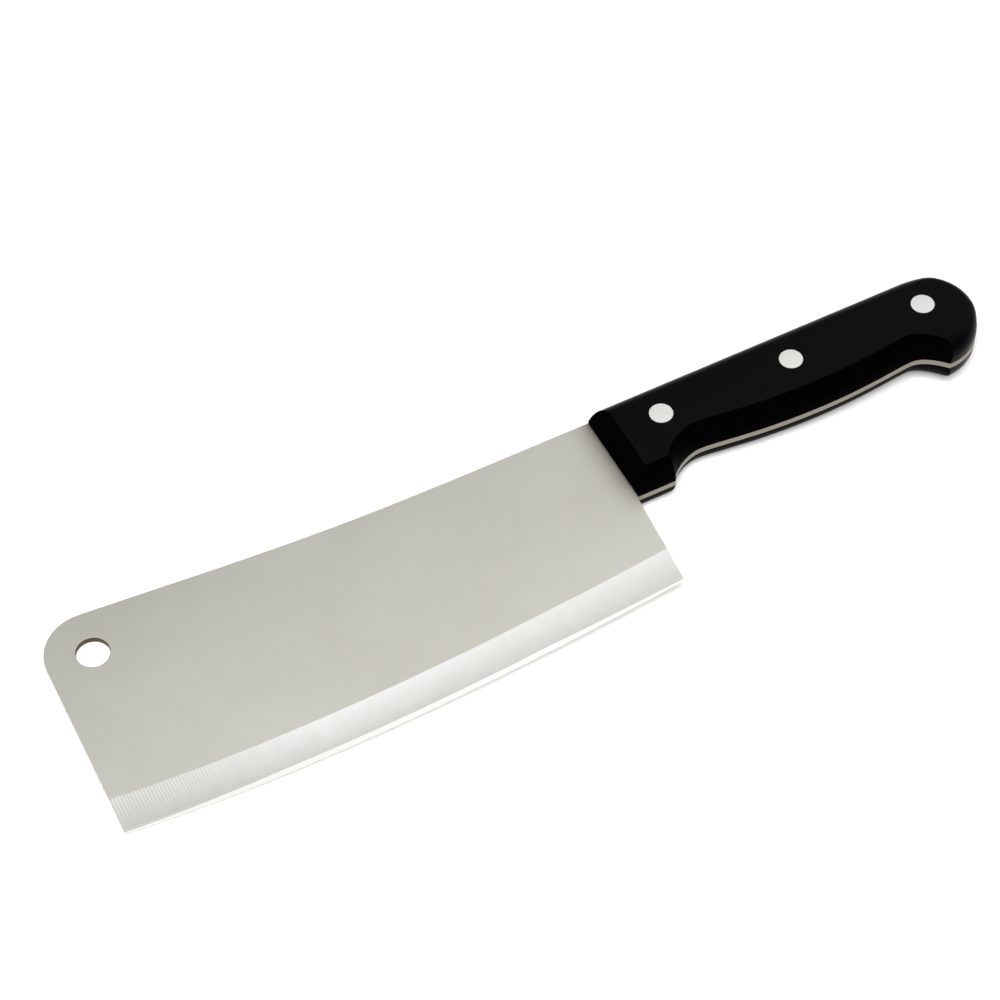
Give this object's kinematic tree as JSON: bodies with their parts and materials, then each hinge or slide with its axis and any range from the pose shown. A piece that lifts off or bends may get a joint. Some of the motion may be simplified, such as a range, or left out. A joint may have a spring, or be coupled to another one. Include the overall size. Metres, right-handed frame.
{
  "type": "kitchen cleaver",
  "caption": "Full-tang kitchen cleaver with a wide ground blade, a hanging hole in the tip corner and a riveted black handle with a finger guard and a hooked butt.",
  "frame": {"origin": "under the middle of the cleaver's outline, level with the back scale's flat face", "axes": "+X from the tip to the butt, +Y to the spine, +Z square to the blade, out of the front scale"},
  "size_m": [0.3036, 0.0762, 0.0175],
  "materials": {
    "blade_steel": "satin, ground across the bevel",
    "handle_plastic": "satin moulded acetal",
    "rivet_metal": "ground flush with the handle"
  },
  "bodies": {
    "root": {"blade": "blade_steel", "front_scale": "handle_plastic", "back_scale": "handle_plastic", "rivet_sleeve_front": "rivet_metal", "rivet_sleeve_middle": "rivet_metal", "rivet_sleeve_rear": "rivet_metal", "rivet_pin_front": "rivet_metal", "rivet_pin_middle": "rivet_metal", "rivet_pin_rear": "rivet_metal"}
  },
  "joints": []
}
